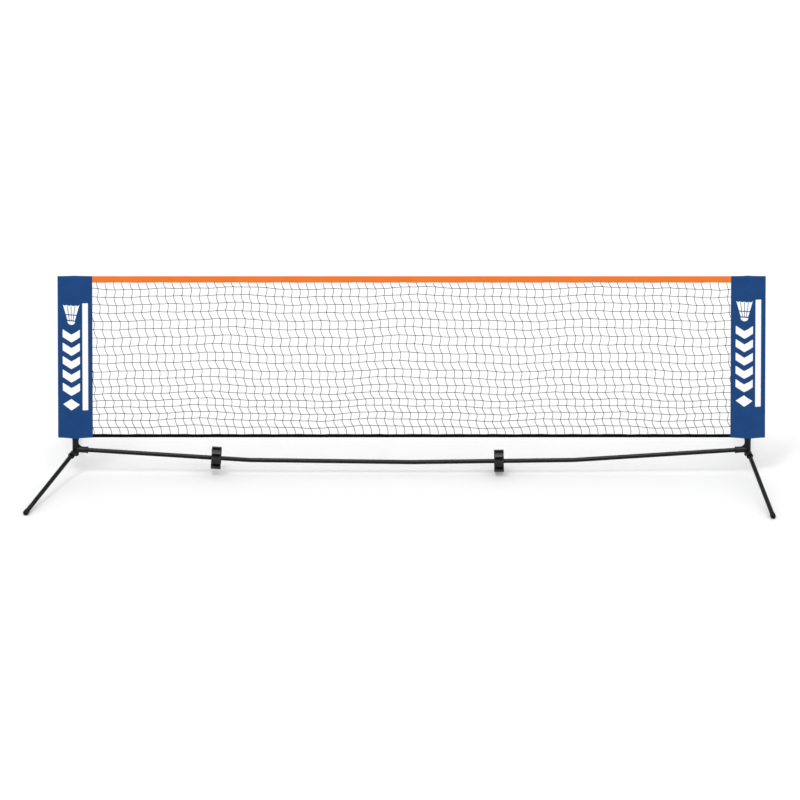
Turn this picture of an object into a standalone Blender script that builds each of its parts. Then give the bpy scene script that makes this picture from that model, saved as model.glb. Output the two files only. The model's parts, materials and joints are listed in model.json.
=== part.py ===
"""Portable badminton net: a fabric net panel on two posts, standing on a sectional rail with four legs.

Metres, +Z up, +X to the right along the net, -Y towards the front. Everything is worked out about the
net's middle on the floor, then one empty shifts the whole object so that its footprint is centred.
Blender 4.5: blender --background --python part.py
"""

import math

import bmesh
import bpy
from mathutils import Matrix, Vector

# ---------------------------------------------------------------- driving dimensions
GAP = 0.0003  # clearance between pieces that touch

TUBE_R = 0.0095  # steel tube, 19 mm across
TUBE_WALL = 0.001
BORE_R = TUBE_R + GAP  # every socket that takes a tube
TUBE_SIDES = 20

POST_X = 1.45  # post axes, either side of the middle
RAIL_END_Z = 0.115  # rail axis where it meets the post axis
RAIL_JOINT_X = 0.70
RAIL_JOINT_Z = 0.0635
RAIL_MID_Z = 0.0535  # the net's pull bows the rail down in the middle
RAIL_SETBACK = 0.0006  # the tubes' ends stop short of each bend by this much

SOCKET_R = 0.0135
COLLAR_R = 0.0150
COLLAR_LENGTH = 0.006
POST_SOCKET_TOP = 0.053  # above the rail axis
POST_BORE_BOTTOM = 0.014
RAIL_SOCKET_LENGTH = 0.055
RAIL_BORE_START = 0.008
HUB_BOTTOM = -0.0148
GUSSET_THICKNESS = 0.008
GUSSET_CORNER = (0.036, 0.034)  # centre of the gusset's hollow curve, inward and up from the hub
GUSSET_CURVE_R = 0.0235

STEM_R = 0.007  # the stem under each hub that the leg brackets turn on
RING_R = 0.0145
RING_HEIGHT = 0.006
RING_TOPS = {"front": HUB_BOTTOM - GAP, "rear": HUB_BOTTOM - RING_HEIGHT - 2 * GAP}
STEM_BOTTOM = RING_TOPS["rear"] - RING_HEIGHT - GAP
WASHER_R = 0.0125
WASHER_THICKNESS = 0.0012
SCREW_R = 0.0016
SCREW_HEAD_R = 0.0046
SCREW_HEAD_HEIGHT = 0.0025
SCREW_HOLE_TOP = -0.016

LEG_ROOT_Z = -0.006  # leg axis at the hub, relative to the rail axis
LEG_REACH = 0.484  # hub axis to the middle of the round foot, along the floor
LEG_SOCKET_R = 0.0130
LEG_COLLAR_R = 0.0145
LEG_COLLAR_LENGTH = 0.005
LEG_SOCKET_START = 0.018
LEG_BORE_START = 0.0200
LEG_SOCKET_END = 0.046
LEG_SPLAY = {  # degrees outwards from straight across the net
    ("left", "front"): 25.8,
    ("right", "front"): 12.6,
    ("left", "rear"): 0.0,
    ("right", "rear"): 0.0,
}
FOOT_R = 0.0117
FOOT_MOUTH_R = 0.0111
FOOT_LENGTH = 0.014
FOOT_HEIGHT = 0.0109  # middle of the round foot, above the floor

FERRULE_R = TUBE_R - TUBE_WALL - GAP
FERRULE_BORE_R = 0.0062
FERRULE_HALF = 0.045
SHOCK_CORD_R = 0.002
KNOT_R = 0.0042
PLUG_LENGTH = 0.012
PLUG_DEPTH = 0.010  # how far the plug sits inside the tube's end

HEM_Z = RAIL_END_Z + 0.0555
SLEEVE_HEIGHT = 0.760
SLEEVE_WIDTH = 0.150
SLEEVE_EDGE = 0.0015  # half the thickness of the sleeve's flat edges
SLEEVE_R = 0.0128  # fabric drawn over the post
POCKET_R = 0.0113
SLEEVE_TOP_THICKNESS = 0.003
TOP_TAPE_HEIGHT = 0.030
TOP_TAPE_THICKNESS = 0.003
BOTTOM_TAPE_HEIGHT = 0.015
BOTTOM_TAPE_THICKNESS = 0.003
NET_THICKNESS = 0.0016

POST_CAP_R = 0.0110
POST_CAP_HEIGHT = 0.006
POST_CAP_SPIGOT = 0.020

CLIP_WIDTH = 0.042
CLIP_R = 0.0490
CLIP_NOTCHES = 7
CLIP_NOTCH_RING_R = 0.0325
CLIP_LIP_HALF = 0.0078  # half the gap between two lips, narrower than a tube
CLIP_MOUTH_HALF = 0.0088
CLIP_FIRST_NOTCH = math.radians(32)  # from straight forwards, turning up
CLIP_CHAMFER = 0.0008
CLIP_X = {"left": -0.843, "right": 0.377}

SIDES = {"left": -1, "right": 1}
RAIL_POINTS = [
    Vector((-POST_X, 0, RAIL_END_Z)),
    Vector((-RAIL_JOINT_X, 0, RAIL_JOINT_Z)),
    Vector((0, 0, RAIL_MID_Z)),
    Vector((RAIL_JOINT_X, 0, RAIL_JOINT_Z)),
    Vector((POST_X, 0, RAIL_END_Z)),
]
LEG_SLOPE = math.atan2(RAIL_END_Z + LEG_ROOT_Z - FOOT_HEIGHT, LEG_REACH)
LEG_AXIS_LENGTH = LEG_REACH / math.cos(LEG_SLOPE)

BLACK_STEEL = ("black_steel", (0.016, 0.016, 0.018), 0.38, 0.3)
BLACK_PLASTIC = ("black_plastic", (0.014, 0.014, 0.015), 0.5, 0.0)
ZINC = ("zinc_steel", (0.55, 0.56, 0.58), 0.35, 1.0)
RUBBER = ("black_rubber", (0.008, 0.008, 0.008), 0.8, 0.0)
ELASTIC = ("elastic_cord", (0.03, 0.03, 0.035), 0.85, 0.0)
BLUE_FABRIC = ("blue_fabric", (0.018, 0.067, 0.209), 0.8, 0.0)
ORANGE_TAPE = ("orange_tape", (0.863, 0.212, 0.036), 0.75, 0.0)
BLACK_TAPE = ("black_tape", (0.006, 0.006, 0.006), 0.8, 0.0)
BLACK_TWINE = ("black_twine", (0.02, 0.02, 0.02), 0.85, 0.0)


# ---------------------------------------------------------------- helpers
def clear_scene():
    for item in list(bpy.data.objects):
        bpy.data.objects.remove(item, do_unlink=True)


def material(recipe):
    name, colour, roughness, metallic = recipe
    found = bpy.data.materials.get(name)
    if found:
        return found
    made = bpy.data.materials.new(name)
    made.use_nodes = True
    shader = made.node_tree.nodes["Principled BSDF"]
    shader.inputs["Base Color"].default_value = (*colour, 1.0)
    shader.inputs["Roughness"].default_value = roughness
    shader.inputs["Metallic"].default_value = metallic
    return made


def link(item, parent):
    bpy.context.scene.collection.objects.link(item)
    item.parent = parent
    return item


def empty(name, parent, location=(0, 0, 0), yaw=0.0):
    made = link(bpy.data.objects.new(name, None), parent)
    made.location = location
    made.rotation_euler = (0, 0, yaw)
    return made


def mesh_from(name, bm, recipe):
    bmesh.ops.recalc_face_normals(bm, faces=bm.faces)
    mesh = bpy.data.meshes.new(name)
    bm.to_mesh(mesh)
    bm.free()
    mesh.shade_smooth()
    mesh.set_sharp_from_angle(angle=math.radians(35))
    mesh.materials.append(material(recipe))
    return mesh


def add(name, mesh, parent, location=(0, 0, 0)):
    made = link(bpy.data.objects.new(name, mesh), parent)
    made.location = location
    return made


def aim_z(item, direction):
    """Turn an object so that its local +Z points along direction."""
    item.rotation_euler = direction.to_track_quat("Z", "Y").to_euler()


def ring(bm, centre, radius, sides, across, up, stretch=1.0):
    """A loop of vertices round centre; stretch lengthens it along up, for a mitred bend."""
    turn = 2 * math.pi / sides
    return [
        bm.verts.new(centre + radius * (math.cos(i * turn) * across + math.sin(i * turn) * stretch * up))
        for i in range(sides)
    ]


def skin(bm, loops):
    """Faces between each loop of vertices and the next."""
    for lower, upper in zip(loops, loops[1:]):
        count = len(lower)
        for i in range(count):
            j = (i + 1) % count
            bm.faces.new((lower[i], lower[j], upper[j], upper[i]))


def turned(profile, sides=TUBE_SIDES):
    """A solid turned about Z from (radius, z) points; a closed outline off the axis gives a ring."""
    bm = bmesh.new()
    x, y = Vector((1, 0, 0)), Vector((0, 1, 0))
    on_axis = [radius == 0 for radius, _ in profile]
    loops = [
        [bm.verts.new((0, 0, z))] if centre else ring(bm, Vector((0, 0, z)), radius, sides, x, y)
        for (radius, z), centre in zip(profile, on_axis)
    ]
    pairs = list(zip(loops, loops[1:]))
    if not any(on_axis):
        pairs.append((loops[-1], loops[0]))
    for lower, upper in pairs:
        for i in range(sides):
            j = (i + 1) % sides
            corners = [lower[i % len(lower)], lower[j % len(lower)]]
            corners += [upper[j % len(upper)], upper[i % len(upper)]]
            bm.faces.new(list(dict.fromkeys(corners)))
    return bm


def tube_profile(outer, inner, start, end):
    return [(outer, start), (outer, end), (inner, end), (inner, start)]


def rod_profile(radius, start, end):
    return [(0, start), (radius, start), (radius, end), (0, end)]


def bent_tube(points, outer, inner, sides=TUBE_SIDES):
    """A hollow tube through points in the XZ plane, mitred where it bends."""
    bm = bmesh.new()
    across = Vector((0, 1, 0))
    shells = []
    for radius in (outer, inner):
        loops = []
        for i, point in enumerate(points):
            before = (point - points[i - 1]).normalized() if i > 0 else None
            after = (points[i + 1] - point).normalized() if i < len(points) - 1 else None
            tangent = ((before or after) + (after or before)).normalized()
            half_bend = tangent.angle(before or after)
            up = tangent.cross(across).normalized()
            loops.append(ring(bm, point, radius, sides, across, up, 1 / math.cos(half_bend)))
        skin(bm, loops)
        shells.append(loops)
    for end in (0, -1):
        skin(bm, [shells[0][end], shells[1][end]])
    return bm


def prism(outline, low, high, plane="XZ"):
    """A flat outline extruded from low to high along the axis that its plane leaves out."""
    bm = bmesh.new()
    orders = {
        "XZ": lambda a, b, c: (a, c, b),
        "XY": lambda a, b, c: (a, b, c),
        "YZ": lambda a, b, c: (c, a, b),
    }
    order = orders[plane]
    loops = [[bm.verts.new(order(a, b, level)) for a, b in outline] for level in (low, high)]
    skin(bm, loops)
    for loop in loops:
        bm.faces.new(loop)
    return bm


def box(low, high):
    (x0, y0, z0), (x1, y1, z1) = low, high
    return prism([(x0, y0), (x1, y0), (x1, y1), (x0, y1)], z0, z1, "XY")


def tool(name, bm, owner, direction=None, origin=(0, 0, 0)):
    """A hidden shape in its owner's frame, for joining to it or cutting from it."""
    bmesh.ops.recalc_face_normals(bm, faces=bm.faces)
    if direction is not None:
        turn = direction.to_track_quat("Z", "Y").to_matrix().to_4x4()
        bmesh.ops.transform(bm, matrix=Matrix.Translation(origin) @ turn, verts=bm.verts)
    mesh = bpy.data.meshes.new(name)
    bm.to_mesh(mesh)
    bm.free()
    mesh.shade_smooth()
    mesh.set_sharp_from_angle(angle=math.radians(35))
    made = link(bpy.data.objects.new(name, mesh), owner)
    made.hide_render = True
    made.display_type = "WIRE"
    return made


def combine(target, operation, *tools):
    for item in tools:
        modifier = target.modifiers.new(item.name, "BOOLEAN")
        modifier.operation = operation
        modifier.solver = "EXACT"
        modifier.object = item


# ---------------------------------------------------------------- corner connectors
def gusset_outline():
    """Web between post socket and rail socket, with a quarter-round hollow edge."""
    steps = 8
    cx, cz = GUSSET_CORNER
    hollow = [
        (cx - GUSSET_CURVE_R * math.cos(a), cz - GUSSET_CURVE_R * math.sin(a))
        for a in (math.pi / 2 * i / steps for i in range(steps + 1))
    ]
    return [(0.0, cz)] + hollow + [(cx, 0.0), (0.0, 0.0)]


def rail_direction():
    """Unit vector from the left hub along its rail section."""
    return (RAIL_POINTS[1] - RAIL_POINTS[0]).normalized()


def corner_connector(side, parent):
    """One moulding: hub, post socket, rail socket, gusset and the stem that the leg brackets turn on."""
    sign = SIDES[side]
    name = f"{side}_corner_connector"
    hub = turned(
        [
            (0, HUB_BOTTOM),
            (SOCKET_R, HUB_BOTTOM),
            (SOCKET_R, POST_SOCKET_TOP - COLLAR_LENGTH),
            (COLLAR_R, POST_SOCKET_TOP - COLLAR_LENGTH),
            (COLLAR_R, POST_SOCKET_TOP),
            (0, POST_SOCKET_TOP),
        ],
        24,
    )
    made = add(name, mesh_from(name, hub, BLACK_PLASTIC), parent, (sign * POST_X, 0, RAIL_END_Z))
    made.rotation_euler = (0, 0, 0 if sign < 0 else math.pi)
    along = rail_direction()
    socket_profile = [
        (0, 0.0),
        (SOCKET_R, 0.0),
        (SOCKET_R, RAIL_SOCKET_LENGTH - COLLAR_LENGTH),
        (COLLAR_R, RAIL_SOCKET_LENGTH - COLLAR_LENGTH),
        (COLLAR_R, RAIL_SOCKET_LENGTH),
        (0, RAIL_SOCKET_LENGTH),
    ]
    half = GUSSET_THICKNESS / 2
    beyond = 0.01
    combine(
        made,
        "UNION",
        tool(f"{side}_socket_shape", turned(socket_profile, 24), made, along),
        tool(f"{side}_gusset_shape", prism(gusset_outline(), -half, half), made),
        tool(f"{side}_stem_shape", turned(rod_profile(STEM_R, STEM_BOTTOM, HUB_BOTTOM + 0.004), 24), made),
    )
    post_bore = turned(rod_profile(BORE_R, POST_BORE_BOTTOM, POST_SOCKET_TOP + beyond))
    rail_bore = turned(rod_profile(BORE_R, RAIL_BORE_START, RAIL_SOCKET_LENGTH + beyond))
    screw_hole = turned(rod_profile(SCREW_R + GAP, STEM_BOTTOM - beyond, SCREW_HOLE_TOP), 12)
    combine(
        made,
        "DIFFERENCE",
        tool(f"{side}_post_bore", post_bore, made),
        tool(f"{side}_rail_bore", rail_bore, made, along),
        tool(f"{side}_screw_hole", screw_hole, made),
    )


def pivot_hardware(side, parent):
    """Washer and screw that hold the leg brackets on the connector's stem."""
    place = (SIDES[side] * POST_X, 0, RAIL_END_Z)
    washer_top = STEM_BOTTOM - GAP
    washer_bottom = washer_top - WASHER_THICKNESS
    washer = turned(tube_profile(WASHER_R, SCREW_R + GAP, washer_bottom, washer_top))
    add(f"{side}_pivot_washer", mesh_from("pivot_washer", washer, ZINC), parent, place)
    head_top = washer_bottom - GAP
    screw = turned(
        [
            (0, head_top - SCREW_HEAD_HEIGHT),
            (SCREW_HEAD_R * 0.65, head_top - SCREW_HEAD_HEIGHT),
            (SCREW_HEAD_R, head_top - SCREW_HEAD_HEIGHT * 0.4),
            (SCREW_HEAD_R, head_top),
            (SCREW_R, head_top),
            (SCREW_R, SCREW_HOLE_TOP - 0.001),
            (0, SCREW_HOLE_TOP - 0.001),
        ],
        16,
    )
    add(f"{side}_pivot_screw", mesh_from("pivot_screw", screw, ZINC), parent, place)


# ---------------------------------------------------------------- legs
def leg_axis():
    """Unit vector down a leg in its own frame, where +X runs out from the hub."""
    return Vector((math.cos(LEG_SLOPE), 0, -math.sin(LEG_SLOPE)))


def leg_frame(side, end, parent):
    """Empty on the swivel's axis, turned so that +X points where the leg points."""
    splay = math.radians(LEG_SPLAY[side, end])
    out = SIDES[side] * math.sin(splay)
    across = math.cos(splay) * (-1 if end == "front" else 1)
    yaw = math.atan2(across, out)
    return empty(f"{side}_{end}_leg_swivel", parent, (SIDES[side] * POST_X, 0, RAIL_END_Z), yaw)


def leg_bracket(side, end, frame):
    """Ring on the connector's stem, with the sloping socket that takes the leg."""
    name = f"{side}_{end}_leg_bracket"
    top = RING_TOPS[end]
    bottom = top - RING_HEIGHT
    ring_shape = turned(tube_profile(RING_R, STEM_R + GAP, bottom, top), 24)
    made = add(name, mesh_from(name, ring_shape, BLACK_PLASTIC), frame)
    socket = turned(
        [
            (0, LEG_SOCKET_START),
            (LEG_SOCKET_R, LEG_SOCKET_START),
            (LEG_SOCKET_R, LEG_SOCKET_END - LEG_COLLAR_LENGTH),
            (LEG_COLLAR_R, LEG_SOCKET_END - LEG_COLLAR_LENGTH),
            (LEG_COLLAR_R, LEG_SOCKET_END),
            (0, LEG_SOCKET_END),
        ],
        24,
    )
    root = (0, 0, LEG_ROOT_Z)
    web_half = 0.0085
    web = box((0.0095, -web_half, bottom), (0.024, web_half, top))
    riser = box((RING_R + 0.0013, -web_half, bottom), (0.026, web_half, -0.012))
    bore = turned(rod_profile(BORE_R, LEG_BORE_START, LEG_SOCKET_END + 0.01))
    combine(
        made,
        "UNION",
        tool(f"{name}_web", web, made),
        tool(f"{name}_riser", riser, made),
        tool(f"{name}_socket", socket, made, leg_axis(), root),
    )
    combine(made, "DIFFERENCE", tool(f"{name}_bore", bore, made, leg_axis(), root))


def leg_tube(side, end, frame):
    profile = tube_profile(TUBE_R, TUBE_R - TUBE_WALL, LEG_BORE_START + GAP, LEG_AXIS_LENGTH - 0.002)
    root = (0, 0, LEG_ROOT_Z)
    made = add(f"{side}_{end}_leg", mesh_from("leg_tube", turned(profile), BLACK_STEEL), frame, root)
    aim_z(made, leg_axis())


def foot_profile():
    """Turned outline of a rubber foot: round end, straight flared skirt, bore for the leg."""
    mouth = LEG_AXIS_LENGTH - FOOT_LENGTH
    bore_end = LEG_AXIS_LENGTH - 0.0015
    steps = 6
    round_end = [
        (FOOT_R * math.cos(a), LEG_AXIS_LENGTH + FOOT_R * math.sin(a))
        for a in (math.pi / 2 * i / steps for i in range(steps))
    ]
    tip = [(0, LEG_AXIS_LENGTH + FOOT_R)]
    return [(0, bore_end), (BORE_R, bore_end), (BORE_R, mouth), (FOOT_MOUTH_R, mouth)] + round_end + tip


def foot_cap(side, end, frame):
    """Rubber foot over the leg's end, with a flat where it stands on the floor."""
    name = f"{side}_{end}_foot"
    made = add(name, mesh_from(name, turned(foot_profile()), RUBBER), frame, (0, 0, LEG_ROOT_Z))
    aim_z(made, leg_axis())
    floor_z = -RAIL_END_Z
    reach = LEG_REACH
    ground = box((reach - 0.05, -0.03, floor_z - 0.02), (reach + 0.03, 0.03, floor_z))
    combine(made, "DIFFERENCE", tool(f"{name}_ground", ground, frame))


def leg(side, end, parent):
    frame = leg_frame(side, end, parent)
    leg_bracket(side, end, frame)
    leg_tube(side, end, frame)
    foot_cap(side, end, frame)


# ---------------------------------------------------------------- rail
def rail_section(index, parent):
    """One straight tube of the rail, numbered from the left."""
    start, end = RAIL_POINTS[index], RAIL_POINTS[index + 1]
    along = (end - start).normalized()
    length = (end - start).length
    first = RAIL_BORE_START + GAP if index == 0 else RAIL_SETBACK
    last = length - (RAIL_BORE_START + GAP if index == len(RAIL_POINTS) - 2 else RAIL_SETBACK)
    name = f"rail_section_{index + 1}"
    profile = tube_profile(TUBE_R, TUBE_R - TUBE_WALL, first, last)
    made = add(name, mesh_from(name, turned(profile), BLACK_STEEL), parent, start)
    aim_z(made, along)


def rail_ferrule(index, parent):
    """Bent steel insert that joins two rail sections from inside."""
    bend = RAIL_POINTS[index]
    back = (RAIL_POINTS[index - 1] - bend).normalized()
    ahead = (RAIL_POINTS[index + 1] - bend).normalized()
    points = [back * FERRULE_HALF, Vector(), ahead * FERRULE_HALF]
    name = f"rail_ferrule_{index}"
    add(name, mesh_from(name, bent_tube(points, FERRULE_R, FERRULE_BORE_R), ZINC), parent, bend)


def cord_plug(side, parent):
    """Plug in the rail's outer end that the shock cord is knotted behind."""
    hub, inner = (RAIL_POINTS[0], RAIL_POINTS[1]) if side == "left" else (RAIL_POINTS[-1], RAIL_POINTS[-2])
    start = RAIL_BORE_START + PLUG_DEPTH
    profile = tube_profile(FERRULE_R, SHOCK_CORD_R + GAP, start, start + PLUG_LENGTH)
    made = add(f"{side}_cord_plug", mesh_from("cord_plug", turned(profile, 16), BLACK_PLASTIC), parent, hub)
    aim_z(made, (inner - hub).normalized())


def rail_route(margin, spacing, rounding):
    """Points along the rail's axis between the hubs, with each bend rounded by a parabola."""
    ends = [RAIL_POINTS[0].lerp(RAIL_POINTS[1], margin / (RAIL_POINTS[1] - RAIL_POINTS[0]).length)]
    ends.append(RAIL_POINTS[-1].lerp(RAIL_POINTS[-2], margin / (RAIL_POINTS[-1] - RAIL_POINTS[-2]).length))
    corners = [ends[0]] + RAIL_POINTS[1:-1] + [ends[1]]
    route = [corners[0]]
    bend_steps = 4
    bend_shares = [i / bend_steps for i in range(1, bend_steps + 1)]
    for before, corner, after in zip(corners, corners[1:], corners[2:]):
        enter = corner + (before - corner).normalized() * rounding
        leave = corner + (after - corner).normalized() * rounding
        straight = max(1, round((enter - route[-1]).length / spacing))
        route += [route[-1].lerp(enter, i / straight) for i in range(1, straight + 1)]
        route += [enter.lerp(corner, t).lerp(corner.lerp(leave, t), t) for t in bend_shares]
    straight = max(1, round((corners[-1] - route[-1]).length / spacing))
    return route + [route[-1].lerp(corners[-1], i / straight) for i in range(1, straight + 1)]


def shock_cord(parent):
    """Elastic cord inside the rail, held by a knot behind the plug at each end."""
    knot_inset = RAIL_BORE_START + PLUG_DEPTH - KNOT_R - GAP
    plug_face = RAIL_BORE_START + PLUG_DEPTH - GAP
    body = rail_route(plug_face, 0.16, 0.03)
    curve = bpy.data.curves.new("rail_shock_cord", "CURVE")
    curve.dimensions = "3D"
    curve.bevel_depth = SHOCK_CORD_R
    curve.bevel_resolution = 2
    curve.use_fill_caps = True
    knots = []
    for hub, inner in ((RAIL_POINTS[0], RAIL_POINTS[1]), (RAIL_POINTS[-1], RAIL_POINTS[-2])):
        along = (inner - hub).normalized()
        centre = hub + along * knot_inset
        knots.append([(centre + along * KNOT_R * math.sin(a), KNOT_R * math.cos(a)) for a in knot_angles()])
    points = knots[0] + [(point, SHOCK_CORD_R) for point in body] + knots[1][::-1]
    spline = curve.splines.new("POLY")
    spline.points.add(len(points) - 1)
    for target, (point, radius) in zip(spline.points, points):
        target.co = (*point, 1)
        target.radius = radius / SHOCK_CORD_R
    made = link(bpy.data.objects.new("rail_shock_cord", curve), parent)
    curve.materials.append(material(ELASTIC))
    return made


def knot_angles():
    """Round outline of a knot, from its outer end to where the cord leaves it."""
    first, last, steps = math.radians(-65), math.radians(50), 5
    return [first + (last - first) * i / steps for i in range(steps + 1)]


# ---------------------------------------------------------------- storage clips
def polar(radius, angle):
    """Point in the clip's YZ plane; angle 0 is straight forwards and turns up."""
    return (-radius * math.cos(angle), radius * math.sin(angle))


def notch_points(angle):
    """Outline of one notch, from one side of its mouth round the seat to the other side."""
    seat_half = math.asin(CLIP_LIP_HALF / BORE_R)
    turn = math.pi - seat_half
    steps = 8
    local = [(math.sqrt(CLIP_R**2 - CLIP_MOUTH_HALF**2), -CLIP_MOUTH_HALF)]
    for i in range(steps + 1):
        a = -turn + 2 * turn * i / steps
        local.append((CLIP_NOTCH_RING_R - BORE_R * math.cos(a), BORE_R * math.sin(a)))
    local.append((local[0][0], CLIP_MOUTH_HALF))
    return [
        polar(math.hypot(out, aside), angle + math.atan2(aside, out)) for out, aside in local
    ]


def clip_outline():
    """Round clip with a ring of open notches and rounded lobes between them."""
    pitch = 2 * math.pi / CLIP_NOTCHES
    mouth = math.asin(CLIP_MOUTH_HALF / CLIP_R)
    lobe_steps = 4
    outline = []
    for k in range(CLIP_NOTCHES):
        angle = CLIP_FIRST_NOTCH + k * pitch
        outline += notch_points(angle)
        lobe = pitch - 2 * mouth
        outline += [polar(CLIP_R, angle + mouth + lobe * i / lobe_steps) for i in range(1, lobe_steps)]
    return outline


def storage_clip(side, parent):
    """Plastic clip on the rail; the notches hold the other tubes when the stand is packed away."""
    x = CLIP_X[side]
    low, high = next((a, b) for a, b in zip(RAIL_POINTS, RAIL_POINTS[1:]) if a.x <= x <= b.x)
    place = low.lerp(high, (x - low.x) / (high.x - low.x))
    along = (high - low).normalized()
    half = CLIP_WIDTH / 2
    name = f"{side}_storage_clip"
    made = add(name, mesh_from(name, prism(clip_outline(), -half, half, "YZ"), BLACK_PLASTIC), parent, place)
    made.rotation_euler = (0, -math.atan2(along.z, along.x), 0)
    bore = turned(rod_profile(BORE_R, -CLIP_WIDTH, CLIP_WIDTH))
    combine(made, "DIFFERENCE", tool(f"{name}_bore", bore, made, Vector((1, 0, 0))))
    chamfer = made.modifiers.new("chamfer", "BEVEL")
    chamfer.width = CLIP_CHAMFER
    chamfer.segments = 1
    chamfer.limit_method = "ANGLE"
    chamfer.angle_limit = math.radians(60)


# ---------------------------------------------------------------- posts and net
def sleeve_top():
    return HEM_Z + SLEEVE_HEIGHT


def post_heights():
    """Bottom, middle and top of a post's tube."""
    bottom = RAIL_END_Z + POST_BORE_BOTTOM + GAP
    top = sleeve_top() - SLEEVE_TOP_THICKNESS - POST_CAP_HEIGHT - 2 * GAP
    return bottom, (bottom + top) / 2, top


def post(side, parent):
    """Two tubes joined by an inner ferrule, with a round cap that the sleeve hangs on."""
    frame = empty(f"{side}_post_axis", parent, (SIDES[side] * POST_X, 0, 0))
    bottom, middle, top = post_heights()
    inner = TUBE_R - TUBE_WALL
    for label, low, high in (("lower", bottom, middle - GAP / 2), ("upper", middle + GAP / 2, top)):
        tube = turned(tube_profile(TUBE_R, inner, low, high))
        add(f"{side}_post_{label}", mesh_from(f"post_{label}", tube, BLACK_STEEL), frame)
    ferrule = turned(tube_profile(FERRULE_R, FERRULE_BORE_R, middle - FERRULE_HALF, middle + FERRULE_HALF))
    add(f"{side}_post_ferrule", mesh_from("post_ferrule", ferrule, ZINC), frame)
    under = top + GAP
    cap = turned(
        [
            (0, top - POST_CAP_SPIGOT),
            (FERRULE_R, top - POST_CAP_SPIGOT),
            (FERRULE_R, under),
            (POST_CAP_R, under),
            (POST_CAP_R, under + POST_CAP_HEIGHT * 0.4),
            (POST_CAP_R * 0.75, under + POST_CAP_HEIGHT * 0.85),
            (POST_CAP_R * 0.35, under + POST_CAP_HEIGHT - GAP),
            (0, under + POST_CAP_HEIGHT - GAP),
        ]
    )
    add(f"{side}_post_cap", mesh_from("post_cap", cap, BLACK_PLASTIC), frame)


def sleeve_outline():
    """Cross-section of fabric drawn from two flat edges over the round post."""
    half = SLEEVE_WIDTH / 2
    reach = math.hypot(half, SLEEVE_EDGE)
    tangent = math.acos(SLEEVE_R / reach) + math.atan2(SLEEVE_EDGE, half)
    steps = 4
    turns = [tangent + (math.pi - 2 * tangent) * i / steps for i in range(steps + 1)]
    arc = [(SLEEVE_R * math.cos(a), SLEEVE_R * math.sin(a)) for a in turns]
    upper = [(half, SLEEVE_EDGE)] + arc + [(-half, SLEEVE_EDGE)]
    return upper + [(x, -y) for x, y in reversed(upper)]


def side_sleeve(side, parent):
    """Fabric sleeve at one end of the net, with a pocket for the post that is closed at the top."""
    name = f"{side}_side_sleeve"
    place = (SIDES[side] * POST_X, 0, 0)
    cloth = prism(sleeve_outline(), HEM_Z, sleeve_top(), "XY")
    made = add(name, mesh_from(name, cloth, BLUE_FABRIC), parent, place)
    pocket = turned(rod_profile(POCKET_R, HEM_Z - 0.01, sleeve_top() - SLEEVE_TOP_THICKNESS))
    combine(made, "DIFFERENCE", tool(f"{name}_pocket", pocket, made))


def net_panel(parent):
    """Orange top tape, black bottom tape and the mesh between them, from sleeve to sleeve."""
    edge = POST_X - SLEEVE_WIDTH / 2 - GAP
    top = sleeve_top()
    tape_bottom = top - TOP_TAPE_HEIGHT
    hem_top = HEM_Z + BOTTOM_TAPE_HEIGHT
    strips = (
        ("top_tape", ORANGE_TAPE, TOP_TAPE_THICKNESS, tape_bottom, top),
        ("bottom_tape", BLACK_TAPE, BOTTOM_TAPE_THICKNESS, HEM_Z, hem_top),
        ("net_mesh", BLACK_TWINE, NET_THICKNESS, hem_top + GAP, tape_bottom - GAP),
    )
    for name, recipe, thickness, low, high in strips:
        strip = box((-edge, -thickness / 2, low), (edge, thickness / 2, high))
        add(name, mesh_from(name, strip, recipe), parent)


# ---------------------------------------------------------------- assembly
def footprint_centre():
    """Middle of the box round everything, seen from above, about the net's middle."""
    edges = {"x": [], "y": []}
    for (side, end), splay in LEG_SPLAY.items():
        angle = math.radians(splay)
        edges["x"].append(SIDES[side] * (POST_X + LEG_REACH * math.sin(angle) + FOOT_R))
        edges["y"].append((LEG_REACH * math.cos(angle) + FOOT_R) * (-1 if end == "front" else 1))
    return [(min(values) + max(values)) / 2 for values in edges.values()]


def build():
    clear_scene()
    centre = footprint_centre()
    root = empty("assembly", None, (-centre[0], -centre[1], 0))
    for side in SIDES:
        corner_connector(side, root)
        pivot_hardware(side, root)
        for end in ("front", "rear"):
            leg(side, end, root)
        cord_plug(side, root)
        storage_clip(side, root)
        post(side, root)
        side_sleeve(side, root)
    for index in range(len(RAIL_POINTS) - 1):
        rail_section(index, root)
    for index in range(1, len(RAIL_POINTS) - 1):
        rail_ferrule(index, root)
    shock_cord(root)
    net_panel(root)


build()
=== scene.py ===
"""Looks of the portable badminton net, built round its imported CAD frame.

Metres, +Z up, +X to the right along the net, -Y towards the front. Places come from the frame's nodes
and joints. Every piece is made by a short function, and rides on the CAD body that carries it.
"""

import json
import math

import bmesh
import bpy
import numpy as np
from mathutils import Matrix, Vector


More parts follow.
